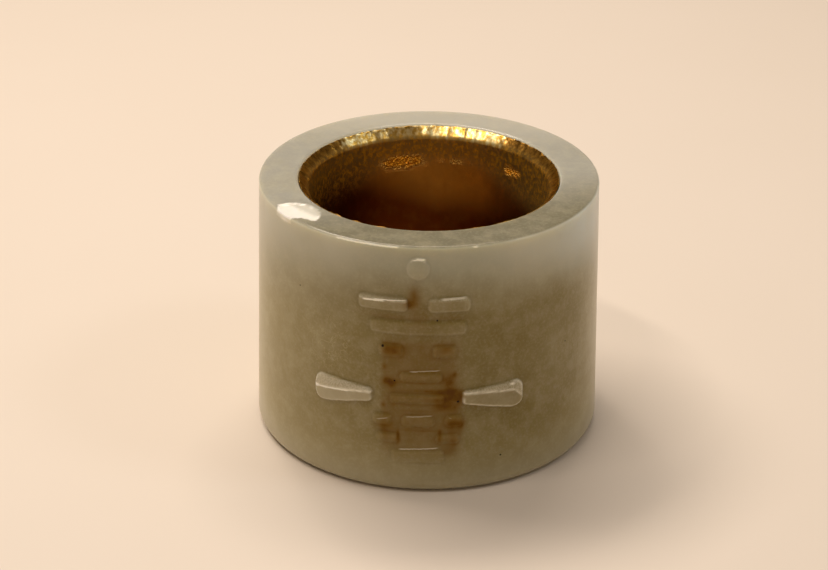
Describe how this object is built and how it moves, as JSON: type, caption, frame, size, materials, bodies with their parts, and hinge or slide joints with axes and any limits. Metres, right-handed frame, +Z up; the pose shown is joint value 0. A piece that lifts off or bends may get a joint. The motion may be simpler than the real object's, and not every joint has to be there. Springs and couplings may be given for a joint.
{
  "type": "jade thumb ring",
  "caption": "Thick tubular archer's thumb ring of pale jade, standing on its end, with low carved strokes on its front and a flared gilt lining.",
  "frame": {"origin": "centre of the flat foot that the ring stands on", "axes": "+Z up along the hole towards the rim, and -Y towards the carved front"},
  "size_m": [0.0322, 0.0324, 0.0241],
  "materials": {
    "jade": "polished, slightly translucent",
    "gilt": "hammered and burnished gilding"
  },
  "bodies": {
    "root": {"jade_ring": "jade", "gold_lining": "gilt"}
  },
  "joints": []
}
